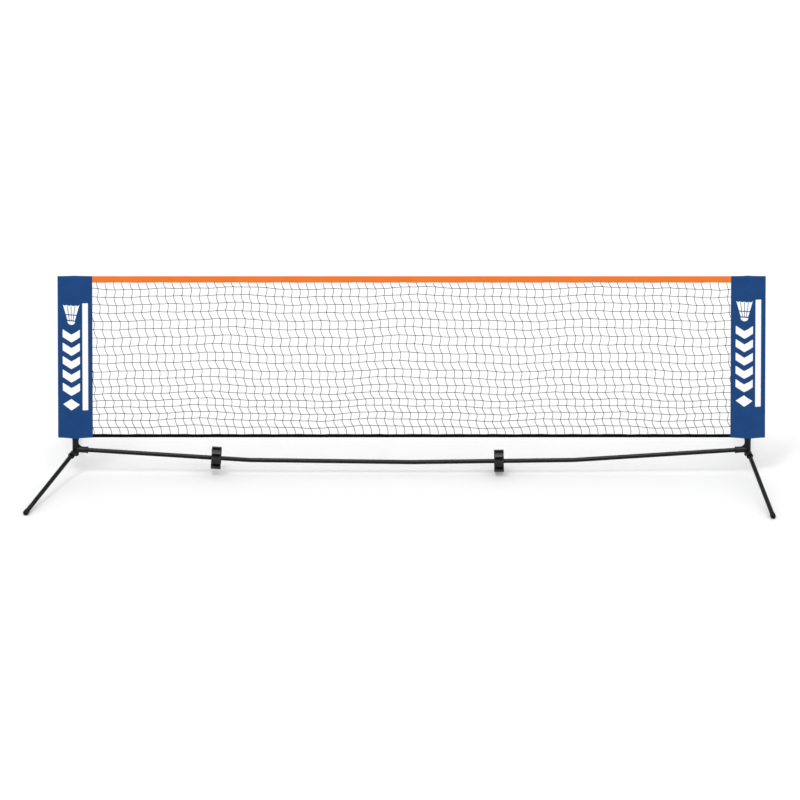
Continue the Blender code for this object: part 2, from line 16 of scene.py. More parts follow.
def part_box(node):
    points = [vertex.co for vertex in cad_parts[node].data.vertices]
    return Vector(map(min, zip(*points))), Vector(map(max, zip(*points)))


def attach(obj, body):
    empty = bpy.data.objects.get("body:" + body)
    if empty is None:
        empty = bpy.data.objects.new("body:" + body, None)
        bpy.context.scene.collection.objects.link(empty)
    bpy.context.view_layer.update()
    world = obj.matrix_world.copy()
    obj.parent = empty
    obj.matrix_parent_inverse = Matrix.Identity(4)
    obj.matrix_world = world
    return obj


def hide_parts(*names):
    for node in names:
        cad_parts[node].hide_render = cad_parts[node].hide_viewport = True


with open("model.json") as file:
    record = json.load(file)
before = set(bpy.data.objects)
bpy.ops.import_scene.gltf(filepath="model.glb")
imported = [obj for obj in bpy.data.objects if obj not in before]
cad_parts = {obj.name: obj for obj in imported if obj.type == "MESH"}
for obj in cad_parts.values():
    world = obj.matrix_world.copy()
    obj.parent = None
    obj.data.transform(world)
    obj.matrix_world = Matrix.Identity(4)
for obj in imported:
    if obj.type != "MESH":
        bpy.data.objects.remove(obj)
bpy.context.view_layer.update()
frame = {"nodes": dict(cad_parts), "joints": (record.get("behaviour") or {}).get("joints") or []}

NODES = frame["nodes"]
JOINTS = {joint["name"]: joint for joint in frame["joints"]}
SIDES = ("left", "right")
ENDS = ("front", "rear")
RAIL_SECTIONS = 4

# ---------------- sizes that the looks share with the CAD
GAP = 0.0003
TUBE_WALL = 0.001
BORE_R = 0.0098

SOCKET_R = 0.0135
COLLAR_R = 0.0150
COLLAR_LENGTH = 0.006
POST_SOCKET_TOP = 0.053  # above the rail's axis at the hub
POST_BORE_BOTTOM = 0.014
RAIL_SOCKET_LENGTH = 0.055
RAIL_BORE_START = 0.008
HUB_BOTTOM = -0.0148
GUSSET_HALF = 0.004
GUSSET_CORNER = (0.036, 0.034)
GUSSET_CURVE_R = 0.0235

STEM_R = 0.007
RING_R = 0.0145
RING_HEIGHT = 0.006
RING_TOPS = {"front": HUB_BOTTOM - GAP, "rear": HUB_BOTTOM - RING_HEIGHT - 2 * GAP}
STEM_BOTTOM = RING_TOPS["rear"] - RING_HEIGHT - GAP
SCREW_HOLE_R = 0.0019
SCREW_HOLE_TOP = -0.016

LEG_ROOT_Z = -0.006
LEG_SOCKET_R = 0.0130
LEG_COLLAR_R = 0.0145
LEG_COLLAR_LENGTH = 0.005
LEG_SOCKET_START = 0.018
LEG_BORE_START = 0.020
LEG_SOCKET_END = 0.046
BRACKET_HALF = 0.0085  # half the width of a bracket's web and riser
BEYOND = 0.01  # how far a cutter reaches past the surface that it opens

CLIP_WIDTH = 0.042
CLIP_R = 0.0490
CLIP_NOTCHES = 7
CLIP_NOTCH_RING_R = 0.0325
CLIP_LIP_HALF = 0.0078
CLIP_MOUTH_HALF = 0.0088
CLIP_FIRST_NOTCH = math.radians(32)
CLIP_LOBE_ROUNDING = 0.0035
CLIP_LIP_ROUNDING = 0.0012
CLIP_EDGE_R = 0.0009

EDGE_HALF = 0.0015  # half the thickness of a sleeve's flat edges
CLOTH = 0.0007
TAPE_CLOTH = 0.0006
SEAM_INSET = 0.007  # the side seams, in from the sleeve's edges
BAND_WIDTH = 0.006  # the doubled cloth inside each side seam
HEM_HEIGHT = 0.022
HEM_SEAM = 0.018  # the hem's row of stitches, above the sleeve's lower edge
TAPE_SEAM = 0.004
TAPE_SEAM_HALF = 0.00105
TAPE_FOOT_HALF = 0.0012
TAPE_TUCK = 0.006
STITCH_R = 0.00032

NET_COLUMNS = 76
NET_ROWS = 20
NET_TUCK = 0.003  # how far strings reach into the tapes and sleeves
FIRST_ROW_SHARE = 0.73  # the top row of meshes is cut off by the tape
TWINE_R = 0.0013
KNOT_R = 0.0023
LEAN = 0.093  # how far the net's upright strings drift to the right on their way down
KINK = 0.0052  # how far alternate rows of knots sit to either side of a string's line
STRING_BOW = 0.0022
PRINT_LIFT = 0.00022
PRINT_RAISE = {"left": 0.003, "right": 0.020}  # the two graphics are not printed at quite the same height
END_SLANT = 0.004  # how far the last strings slant to the right, into the bottom tape

# ---------------- shapes: (points, faces) pairs
def turned(profile, sides=64, closed=False):
    """A surface turned about Z from (radius, z) points, bottom to top on the outside."""
    turn = np.linspace(0, math.tau, sides, endpoint=False)
    points, loops = [], []
    for radius, z in profile:
        count = 1 if radius == 0 else sides
        loops.append([len(points) + i for i in range(count)])
        points += [(radius * math.cos(a), radius * math.sin(a), z) for a in turn[:count]]
    pairs = list(zip(loops, loops[1:]))
    if closed:
        pairs.append((loops[-1], loops[0]))
    faces = []
    for lower, upper in pairs:
        for i in range(sides):
            j = (i + 1) % sides
            corners = [lower[k % len(lower)] for k in (i, j)] + [upper[k % len(upper)] for k in (j, i)]
            faces.append(tuple(dict.fromkeys(corners)))
    return np.array(points, float), faces


def softened(profile, radius, steps=4, closed=False):
    """The profile with rounded corners, as moulded and rolled edges have; radius may be one per point."""
    points = [np.array(point, float) for point in profile]
    count = len(points)
    radii = np.broadcast_to(radius, count)
    made = []
    for i, corner in enumerate(points):
        if radii[i] == 0 or (not closed and i in (0, count - 1)):
            made.append(corner)
            continue
        before, after = points[i - 1], points[(i + 1) % count]
        cut = min(radii[i], np.linalg.norm(before - corner) / 2, np.linalg.norm(after - corner) / 2)
        enter = corner + (before - corner) / np.linalg.norm(before - corner) * cut
        leave = corner + (after - corner) / np.linalg.norm(after - corner) * cut
        for t in np.linspace(0, 1, steps):
            made.append((1 - t) ** 2 * enter + 2 * t * (1 - t) * corner + t**2 * leave)
    return [tuple(point) for point in made]


def tube_shape(outer, inner, length):
    """A tube with rolled ends."""
    profile = [(outer, 0.0), (outer, length), (inner, length), (inner, 0.0)]
    return turned(softened(profile, 0.0003, closed=True), 72, closed=True)


def rod_profile(radius, low, high):
    return [(0, low), (radius, low), (radius, high), (0, high)]


def arc(centre, radius, start, stop, steps):
    """Points of a flat arc, both ends included."""
    x, y = centre
    return [(x + radius * math.cos(a), y + radius * math.sin(a)) for a in np.linspace(start, stop, steps)]


def lying(a, b, depth):
    """Places an outline in the XY plane, with its depth along Z."""
    return a, b, depth


def standing(a, b, depth):
    """Places an outline in the XZ plane, with its depth along Y."""
    return a, depth, b


def slab(outline, low, high, order):
    """A flat outline given depth from low to high; order puts (a, b, depth) on the axes."""
    count = len(outline)
    points = [order(a, b, level) for level in (low, high) for a, b in outline]
    faces = [tuple(range(count))[::-1], tuple(range(count, 2 * count))]
    faces += [(i, (i + 1) % count, count + (i + 1) % count, count + i) for i in range(count)]
    return np.array(points, float), faces


def moved(shape, matrix):
    points, faces = shape
    matrix = np.array(matrix, float)
    return points @ matrix[:3, :3].T + matrix[:3, 3], faces


def joined(shapes):
    """Several shapes as one, still separate inside it."""
    points, faces, count = [], [], 0
    for more_points, more_faces in shapes:
        points.append(more_points)
        faces += [tuple(i + count for i in face) for face in more_faces]
        count += len(more_points)
    return np.concatenate(points), faces


def along(start, direction):
    """Puts a shape's Z axis on a line from start."""
    return Matrix.Translation(start) @ direction.to_track_quat("Z", "Y").to_matrix().to_4x4()


def quads(grid):
    """Faces between neighbours in a grid of point numbers."""
    corners = (grid[:-1, :-1], grid[:-1, 1:], grid[1:, 1:], grid[1:, :-1])
    return [tuple(face) for face in np.stack(corners, axis=-1).reshape(-1, 4).tolist()]


def looped(grid):
    """The grid with its first column once more at its end, for a shape that closes on itself."""
    return np.concatenate([grid, grid[:, :1]], axis=1)


def swept(path, side, other, radius, sides):
    """A capped round tube along a path, where side and other span its cross-section."""
    turn = np.linspace(0, math.tau, sides, endpoint=False)[:, None]
    rings = path[:, None] + radius * (np.cos(turn) * side + np.sin(turn) * other)
    grid = np.arange(len(path) * sides).reshape(-1, sides)
    caps = [tuple(grid[0, ::-1].tolist()), tuple(grid[-1].tolist())]
    return rings.reshape(-1, 3), quads(looped(grid)) + caps


def round_path(path, radius, sides):
    """A tube along a path that bends gently and stays close to the XZ plane."""
    tangent = np.gradient(path, axis=0)
    tangent /= np.linalg.norm(tangent, axis=1)[:, None]
    side = np.cross(tangent, (0.0, 1.0, 0.0))
    side /= np.linalg.norm(side, axis=1)[:, None]
    return swept(path, side[:, None], np.cross(tangent, side)[:, None], radius, sides)


# ---------------- meshes and pieces
def face_outwards(mesh, weld=False):
    """Turns the faces outwards, and joins doubled points first if weld is set."""
    bm = bmesh.new()
    bm.from_mesh(mesh)
    if weld:
        bmesh.ops.remove_doubles(bm, verts=bm.verts, dist=0.00001)
    bmesh.ops.recalc_face_normals(bm, faces=bm.faces)
    bm.to_mesh(mesh)
    bm.free()


def mesh_of(name, shape, outwards=True):
    points, faces = shape
    mesh = bpy.data.meshes.new(name)
    mesh.from_pydata(points.tolist(), [], faces)
    if outwards:
        face_outwards(mesh)
    return mesh


def loose(name, mesh):
    item = bpy.data.objects.new(name, mesh)
    bpy.context.scene.collection.objects.link(item)
    return item


def baked(item, helpers=()):
    """The item's mesh with its modifiers applied. The item and its helpers are removed."""
    graph = bpy.context.evaluated_depsgraph_get()
    mesh = bpy.data.meshes.new_from_object(item.evaluated_get(graph))
    for used in (item, *helpers):
        bpy.data.objects.remove(used, do_unlink=True)
    return mesh


def piece(name, mesh, finish, body, replaced=(), place=None, crease=35):
    """A finished piece on its CAD body, standing for the CAD nodes in replaced."""
    mesh.materials.clear()
    mesh.materials.append(finish)
    mesh.shade_smooth()
    mesh.set_sharp_from_angle(angle=math.radians(crease))
    made = loose(name, mesh)
    if place is not None:
        made.matrix_world = place
    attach(made, body)
    if replaced:
        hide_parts(*replaced)
    return made


def points_of(node):
    mesh = NODES[node].data
    flat = np.empty(len(mesh.vertices) * 3, np.float32)
    mesh.vertices.foreach_get("co", flat)
    return flat.reshape(-1, 3).astype(float)


def axis_of(node):
    """Start, direction, length and radius of a straight round CAD node, from its higher or left end."""
    points = points_of(node)
    middle = points.mean(0)
    line = np.linalg.svd(points - middle, full_matrices=False)[2][0]
    if line[2] > 0.1 or (abs(line[2]) <= 0.1 and line[0] < 0):
        line = -line
    reach = (points - middle) @ line
    radius = np.linalg.norm(points - middle - np.outer(reach, line), axis=1).max()
    return Vector(middle + line * reach.min()), Vector(line), reach.max() - reach.min(), radius


def hub(side):
    """Where the rail's axis meets the post's axis."""
    return Vector(JOINTS[f"{side}_front_leg_swivel"]["pos_m"])


def hub_frame(side):
    """The hub with +X towards the middle of the rail."""
    return Matrix.Translation(hub(side)) @ Matrix.Rotation(0 if side == "left" else math.pi, 4, "Z")


# ---------------- materials
class Finish:
    """A Principled material whose pattern is worked out from object coordinates."""

    INPUTS = {"colour": "Base Color", "gloss": "Specular IOR Level"}

    def __init__(self, name, colour, roughness):
        self.material = bpy.data.materials.new(name)
        self.material.use_nodes = True
        self.tree = self.material.node_tree
        self.shader = self.tree.nodes["Principled BSDF"]
        self.place = self.add("ShaderNodeTexCoord", {}, "Object")
        self.set(colour=(*colour, 1.0), roughness=roughness)

    def feed(self, socket, value):
        if isinstance(value, bpy.types.NodeSocket):
            self.tree.links.new(value, socket)
        else:
            socket.default_value = value

    def set(self, **values):
        """Sets or links inputs of the shader. Gives the material."""
        for name, value in values.items():
            self.feed(self.shader.inputs[self.INPUTS.get(name, name.title())], value)
        return self.material

    def add(self, kind, inputs, output=0, **settings):
        """One output of a new node, whose inputs are values or other outputs."""
        made = self.tree.nodes.new(kind)
        for key, value in settings.items():
            setattr(made, key, value)
        for key, value in inputs.items():
            self.feed(made.inputs[key], value)
        return made.outputs[output]

    def noise(self, scale, detail=2.0, stretch=None):
        """Cloudy noise; stretch scales the coordinates by different amounts along each axis."""
        place = self.place
        if stretch is not None:
            place = self.add("ShaderNodeVectorMath", {0: place, 1: stretch}, operation="MULTIPLY")
        return self.add("ShaderNodeTexNoise", {"Vector": place, "Scale": scale, "Detail": detail}, "Fac")

    def threads(self, direction, pitch):
        """Even ridges across one axis, one every pitch metres, from 0 in the furrows to 1 on top."""
        inputs = {"Vector": self.place, "Scale": math.tau / 20 / pitch}
        bands = {"wave_type": "BANDS", "bands_direction": direction, "wave_profile": "SIN"}
        return self.add("ShaderNodeTexWave", inputs, "Fac", **bands)

    def maths(self, operation, first, second):
        return self.add("ShaderNodeMath", {0: first, 1: second}, operation=operation)

    def spread(self, source, low, high, start=0.3, stop=0.7):
        """The source's start to stop mapped to low to high, held at both ends."""
        return self.add("ShaderNodeMapRange", dict(enumerate((source, start, stop, low, high))))

    def blend(self, factor, *colours):
        """A mix of two colours, from the first at 0 to the second at 1."""
        first, second = [(*c, 1.0) if isinstance(c, tuple) else c for c in colours]
        return self.add("ShaderNodeMix", {0: factor, 6: first, 7: second}, 2, data_type="RGBA")

    def bump(self, height, depth, under=None):
        """Relief depth metres deep; under is a coarser relief that it lies on."""
        inputs = {"Height": height, "Distance": depth}
        if under is not None:
            inputs["Normal"] = under
        return self.add("ShaderNodeBump", inputs)


def powder_coat():
    """Black powder coat on steel: faint orange peel, cloudy gloss and a few long rub marks."""
    made = Finish("powder_coat", (0.004, 0.004, 0.0045), 0.30)
    cloud = made.noise(60, 3)
    rubs = made.spread(made.noise(1, 3, (700, 700, 45)), 0.0, 1.0, 0.66, 0.74)
    tint = made.blend(made.spread(cloud, 0, 1), (0.003, 0.003, 0.0033), (0.006, 0.006, 0.0064))
    return made.set(
        colour=made.blend(rubs, tint, (0.018, 0.018, 0.019)),
        roughness=made.spread(cloud, 0.24, 0.34),
        gloss=0.14,
        normal=made.bump(made.noise(1500, 2), 0.00006),
    )


def moulded_plastic(name, gloss):
    """Black nylon moulding: fine spark grain, slightly greyer where it has been handled."""
    made = Finish(name, (0.006, 0.006, 0.006), 0.42)
    worn = made.spread(made.noise(90, 4), 0, 1, 0.45, 0.75)
    coarse = made.bump(made.noise(420, 2), 0.00008)
    return made.set(
        colour=made.blend(worn, (0.004, 0.004, 0.0042), (0.011, 0.011, 0.011)),
        roughness=made.spread(made.noise(140, 3), 0.34, 0.48),
        gloss=gloss,
        normal=made.bump(made.noise(3200, 1), 0.00005, coarse),
    )


def zinc_plate():
    """Bright zinc plating with faint turning lines."""
    made = Finish("zinc_plate", (0.55, 0.56, 0.58), 0.32)
    cloud = made.noise(220, 3)
    return made.set(
        colour=made.blend(cloud, (0.46, 0.47, 0.50), (0.66, 0.67, 0.68)),
        roughness=made.spread(cloud, 0.24, 0.42),
        metallic=1.0,
        normal=made.bump(made.threads("Z", 0.0006), 0.00002),
    )


def foot_rubber():
    """Matt black rubber, dusty in patches."""
    made = Finish("foot_rubber", (0.005, 0.005, 0.005), 0.8)
    dust = made.spread(made.noise(130, 4), 0, 1, 0.48, 0.8)
    return made.set(
        colour=made.blend(dust, (0.003, 0.003, 0.003), (0.014, 0.0135, 0.013)),
        roughness=made.spread(dust, 0.66, 0.88, 0, 1),
        gloss=0.12,
        normal=made.bump(made.noise(2200, 2), 0.00008),
    )


def elastic_braid():
    """Braided cover of the shock cord, dark with a light fleck."""
    made = Finish("elastic_braid", (0.03, 0.03, 0.035), 0.85)
    braid = made.maths("MULTIPLY", made.threads("DIAGONAL", 0.0012), made.threads("X", 0.0009))
    tint = made.blend(made.spread(braid, 0, 1), (0.014, 0.014, 0.016), (0.10, 0.10, 0.11))
    return made.set(colour=tint, normal=made.bump(braid, 0.0002))


def woven(name, dark, light, pitch, roughness, relief, gloss=0.05):
    """Plain-weave cloth that lies in the XZ plane, a little cloudy and worn."""
    middle = tuple((a + b) / 2 for a, b in zip(dark, light))
    made = Finish(name, middle, roughness)
    weave = made.maths("ADD", made.threads("X", pitch), made.threads("Z", pitch))
    weave = made.maths("MULTIPLY", weave, 0.5)
    cloud = made.noise(14, 4)
    slub = made.noise(1, 2, (160, 160, 1100))
    tone = made.maths("ADD", made.maths("MULTIPLY", cloud, 0.5), made.maths("MULTIPLY", slub, 0.3))
    tone = made.maths("ADD", tone, made.maths("MULTIPLY", weave, 0.2))
    soft = made.bump(made.noise(34, 3), 0.0006)
    return made.set(
        colour=made.blend(made.spread(tone, 0, 1, 0.36, 0.64), dark, light),
        roughness=made.spread(cloud, roughness - 0.06, roughness + 0.06),
        gloss=gloss,
        normal=made.bump(weave, relief, soft),
    )


def screen_print():
    """White ink on cloth: the weave still reads through it, with a few fine worn spots."""
    white = (0.88, 0.88, 0.88)
    made = Finish("screen_print", white, 0.6)
    weave = made.maths("MULTIPLY", made.threads("X", 0.0011), made.threads("Z", 0.0011))
    worn = made.spread(made.noise(300, 4), 0, 0.5, 0.68, 0.80)
    return made.set(
        colour=made.blend(worn, white, (0.42, 0.50, 0.62)),
        roughness=made.spread(weave, 0.62, 0.5, 0, 1),
        gloss=0.3,
        normal=made.bump(weave, 0.0001),
    )


def twine():
    """Dark braided twine of the net."""
    made = Finish("net_twine", (0.004, 0.004, 0.004), 0.8)
    tint = made.blend(made.noise(900, 2), (0.002, 0.002, 0.002), (0.009, 0.009, 0.009))
    return made.set(colour=tint, gloss=0.08)


def sewing_thread(name, colour):
    made = Finish(name, colour, 0.7)
    lighter = tuple(min(1.0, 1.5 * part) for part in colour)
    return made.set(colour=made.blend(made.noise(1500, 1), colour, lighter), gloss=0.1)


# ---------------- tubes
def steel_tubes(finish):
    """Rail sections, posts and legs: thin-walled tubes with rolled ends."""
    bodies = {f"rail_section_{i + 1}": "base" for i in range(RAIL_SECTIONS)}
    for side in SIDES:
        bodies.update({f"{side}_post_{part}": f"{side}_post" for part in ("lower", "upper")})
        bodies.update({f"{side}_{end}_leg": f"{side}_{end}_leg" for end in ENDS})
    for node, body in bodies.items():
        start, direction, length, radius = axis_of(node)
        mesh = mesh_of(node, tube_shape(radius, radius - TUBE_WALL, length))
        piece(f"{node}_tube", mesh, finish, body, [node], along(start, direction), 50)


# ---------------- mouldings
def moulding(name, shapes, bores, voxel=0.0006):
    """Fuses closed shapes with soft inner corners, as in a mould, and then opens the bores."""
    blank = loose(f"{name}_blank", mesh_of(name, joined(shapes)))
    skin = blank.modifiers.new("skin", "REMESH")
    skin.mode = "VOXEL"
    skin.voxel_size = voxel
    relax = blank.modifiers.new("fillets", "SMOOTH")
    relax.factor = 0.5
    relax.iterations = 7
    cutters = []
    for i, bore in enumerate(bores):
        cutter = loose(f"{name}_bore_{i}", mesh_of(f"{name}_bore_{i}", bore))
        cut = blank.modifiers.new(cutter.name, "BOOLEAN")
        cut.operation = "DIFFERENCE"
        cut.solver = "EXACT"
        cut.object = cutter
        cutters.append(cutter)
    return baked(blank, cutters)


def bore_shape(start, mouth):
    """A tube's bore with a small countersink where it opens at the mouth."""
    flare = 0.0009
    profile = [(0, start), (BORE_R, start), (BORE_R, mouth - flare), (BORE_R + flare, mouth)]
    return turned(profile + [(BORE_R + flare, mouth + BEYOND), (0, mouth + BEYOND)])


def socket_shape(radius, collar, start, end, collar_length):
    """A round socket with a raised collar round its mouth and a thin bead behind it."""
    shoulder = end - collar_length
    bead, bead_r = shoulder - 0.0045, radius + 0.0006
    profile = [(0, start), (radius, start), (radius, bead), (bead_r, bead + 0.0004)]
    profile += [(bead_r, bead + 0.0016), (radius, bead + 0.0020), (radius, shoulder)]
    profile += [(collar, shoulder), (collar, end), (0, end)]
    return turned(softened(profile, 0.0006))


def gusset_shape():
    """The web between the two sockets, with its hollow edge thickened into a rib."""
    cx, cz = GUSSET_CORNER
    rib_depth, step = 0.0028, 0.0012
    hollow = arc(GUSSET_CORNER, GUSSET_CURVE_R, math.pi, 1.5 * math.pi, 25)
    inner = arc(GUSSET_CORNER, GUSSET_CURVE_R + rib_depth, math.pi, 1.5 * math.pi, 25)
    web_half = GUSSET_HALF - step
    web = slab([(0.0, cz)] + hollow + [(cx, 0.0), (0.0, 0.0)], -web_half, web_half, standing)
    rib = slab(hollow + inner[::-1], -GUSSET_HALF, GUSSET_HALF, standing)
    return [web, rib]


def corner_connectors(finish):
    """Both corner mouldings, from one mesh: hub, post socket, rail socket, gusset and stem."""
    _, rail, _, _ = axis_of("rail_section_1")
    rail = along(Vector(), Vector((rail.x, 0, rail.z)))
    post_socket = socket_shape(SOCKET_R, COLLAR_R, HUB_BOTTOM, POST_SOCKET_TOP, COLLAR_LENGTH)
    rail_socket = socket_shape(SOCKET_R, COLLAR_R, 0, RAIL_SOCKET_LENGTH, COLLAR_LENGTH)
    stem = turned(softened(rod_profile(STEM_R, STEM_BOTTOM, 0), 0.0004))
    bores = [
        bore_shape(POST_BORE_BOTTOM, POST_SOCKET_TOP),
        moved(bore_shape(RAIL_BORE_START, RAIL_SOCKET_LENGTH), rail),
        turned(rod_profile(SCREW_HOLE_R, STEM_BOTTOM - BEYOND, SCREW_HOLE_TOP), 24),
    ]
    mesh = moulding("corner_moulding", [post_socket, moved(rail_socket, rail), stem] + gusset_shape(), bores)
    for side in SIDES:
        node = f"{side}_corner_connector"
        piece(f"{side}_corner_moulding", mesh.copy(), finish, "base", [node], hub_frame(side), 50)


def leg_brackets(finish):
    """Four swivel brackets: a ring on the stem, a web and a riser, and a sloping socket for the leg."""
    for end in ENDS:
        top = RING_TOPS[end]
        bottom = top - RING_HEIGHT
        slope = -JOINTS[f"left_{end}_leg_pull"]["axis"][2]
        leg = Vector((math.sqrt(1 - slope**2), 0, -slope))
        root = along(Vector((0, 0, LEG_ROOT_Z)), leg)
        socket = socket_shape(LEG_SOCKET_R, LEG_COLLAR_R, LEG_SOCKET_START, LEG_SOCKET_END, LEG_COLLAR_LENGTH)
        bore = bore_shape(LEG_BORE_START, LEG_SOCKET_END)
        eye = turned(rod_profile(STEM_R + GAP, bottom - BEYOND, top + BEYOND))
        shapes = [turned(softened(rod_profile(RING_R, bottom, top), 0.0005))]
        for near, far, upper in ((0.0095, 0.024, top), (0.0158, 0.026, -0.012)):
            corners = [(near, -BRACKET_HALF), (far, -BRACKET_HALF), (far, BRACKET_HALF), (near, BRACKET_HALF)]
            shapes.append(slab(corners, bottom, upper, lying))
        shapes.append(moved(socket, root))
        mesh = moulding(f"{end}_bracket_moulding", shapes, [eye, moved(bore, root)], 0.0005)
        for side in SIDES:
            pull = JOINTS[f"{side}_{end}_leg_pull"]["axis"]
            turn = Matrix.Rotation(math.atan2(pull[1], pull[0]), 4, "Z")
            place = Matrix.Translation(hub(side)) @ turn
            node, body = f"{side}_{end}_leg_bracket", f"{side}_{end}_bracket"
            piece(f"{node}_moulding", mesh.copy(), finish, body, [node], place, 50)


def rubber_feet(finish):
    """Ribbed rubber feet with round ends, flat where they stand on the floor."""
    for side in SIDES:
        for end in ENDS:
            node, leg = f"{side}_{end}_foot", f"{side}_{end}_leg"
            start, direction, _, _ = axis_of(leg)
            reach = (points_of(node) - np.array(start)) @ np.array(direction)
            place = along(start, direction)
            points, faces = moved(turned(foot_profile(reach.min(), reach.max()), 72), place)
            points[:, 2] = np.maximum(points[:, 2], 0.0)
            piece(f"{node}_rubber", mesh_of(node, (points, faces)), finish, leg, [node])


def foot_profile(mouth, tip):
    """Turned outline: bore, lip, two grooves in the skirt and a blunt domed end."""
    skirt_r, mouth_r = 0.0117, 0.0111
    groove_depth, groove_width, slant = 0.0006, 0.0016, 0.0004
    centre = tip - skirt_r
    bore_end = centre - 0.0015
    profile = [(0, bore_end), (BORE_R, bore_end), (BORE_R, mouth), (mouth_r, mouth)]
    for groove in (mouth + 0.0035, mouth + 0.0075):
        radius = mouth_r + (skirt_r - mouth_r) * (groove - mouth) / (centre - mouth)
        floor = radius - groove_depth
        profile += [(radius, groove), (floor, groove + slant)]
        profile += [(floor, groove + groove_width - slant), (radius, groove + groove_width)]
    turn = np.linspace(0, math.pi / 2, 15)[:-1]
    profile += [(skirt_r * math.cos(a) ** 0.75, centre + skirt_r * math.sin(a) ** 0.9) for a in turn]
    return softened(profile, 0.0003, 3) + [(0, tip)]


# ---------------- storage clips
def notch_outline():
    """One notch on the local +X side, anticlockwise, with the rounded flanks of the lobes beside it."""
    seat_half = math.asin(CLIP_LIP_HALF / BORE_R)
    flank = math.asin(CLIP_MOUTH_HALF / CLIP_R) + 2 * CLIP_LOBE_ROUNDING / CLIP_R
    corners = [(CLIP_R * math.cos(flank), -CLIP_R * math.sin(flank))]
    corners.append((math.sqrt(CLIP_R**2 - CLIP_MOUTH_HALF**2), -CLIP_MOUTH_HALF))
    corners += arc((CLIP_NOTCH_RING_R, 0), BORE_R, -seat_half, seat_half - math.tau, 30)
    corners += [(x, -y) for x, y in corners[1::-1]]
    radii = np.zeros(len(corners))
    radii[[1, -2]] = CLIP_LOBE_ROUNDING
    radii[[2, -3]] = CLIP_LIP_ROUNDING
    return softened(corners, radii, 6)


def clip_outline():
    """The clip seen from its end: seven notches with rounded lobes between them."""
    pitch = math.tau / CLIP_NOTCHES
    notch = notch_outline()
    flank = math.atan2(notch[-1][1], notch[-1][0])
    outline = []
    for k in range(CLIP_NOTCHES):
        turn = np.array(Matrix.Rotation(k * pitch, 2))
        outline += [tuple(turn @ point) for point in notch]
        outline += arc((0, 0), CLIP_R, k * pitch + flank, (k + 1) * pitch - flank, 10)[1:-1]
    return outline


def clip_mesh():
    """The clip's outline and bore given depth, with all its edges rounded."""
    curve = bpy.data.curves.new("clip_outline", "CURVE")
    curve.dimensions = "2D"
    curve.fill_mode = "BOTH"
    curve.extrude = CLIP_WIDTH / 2 - CLIP_EDGE_R
    curve.bevel_depth = CLIP_EDGE_R
    curve.bevel_resolution = 3
    curve.offset = -CLIP_EDGE_R
    bore = arc((0, 0), BORE_R, 0, math.tau * 63 / 64, 64)
    for outline in (clip_outline(), bore):
        spline = curve.splines.new("POLY")
        spline.points.add(len(outline) - 1)
        spline.use_cyclic_u = True
        for point, (a, b) in zip(spline.points, outline):
            point.co = (a, b, 0, 1)
    mesh = baked(loose("clip_outline", curve))
    bpy.data.curves.remove(curve)
    face_outwards(mesh, weld=True)
    return mesh


def rail_at(x):
    """The point on the rail's axis at x, and the direction of the rail there."""
    for i in range(RAIL_SECTIONS):
        low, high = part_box(f"rail_section_{i + 1}")
        if low.x < x < high.x:
            start, direction, _, _ = axis_of(f"rail_section_{i + 1}")
            return start + direction * ((x - start.x) / direction.x), direction
    raise ValueError(f"no rail section at x = {x}")


def storage_clips(finish):
    """Both clips, turned onto the rail with their first notch up and forwards."""
    mesh = clip_mesh()
    facing = Matrix(((0, 0, -1, 0), (-1, 0, 0, 0), (0, 1, 0, 0), (0, 0, 0, 1)))
    first = Matrix.Rotation(CLIP_FIRST_NOTCH, 4, "Z")
    for side in SIDES:
        node = f"{side}_storage_clip"
        low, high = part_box(node)
        centre, direction = rail_at((low.x + high.x) / 2)
        tilt = Matrix.Rotation(-math.atan2(direction.z, direction.x), 4, "Y")
        place = Matrix.Translation(centre) @ tilt @ facing @ first
        piece(f"{node}_moulding", mesh.copy(), finish, f"{side}_clip", [node], place, 40)


# ---------------- side sleeves
def waves(a, b, seed):
    """Gentle uneven ripples between about -1 and 1, the same ones each run."""
    total = 0.0
    for k in range(1, 5):
        phase = a * (0.7 + 0.45 * k) + b * (0.9 * k - 1.1) + seed * 1.7 * k
        total = total + math.cos(seed * k) * np.sin(phase)
    return total / 2.2


def raised(thickness, distance):
    """A soft step up to the thickness where distance passes 0."""
    return thickness / 2 * (1 + np.tanh(distance / 0.0008))


def drawn_in(distance):
    """The shallow groove that a row of stitches makes where distance is 0."""
    return 0.00030 * np.exp(-((distance / 0.0008) ** 2))


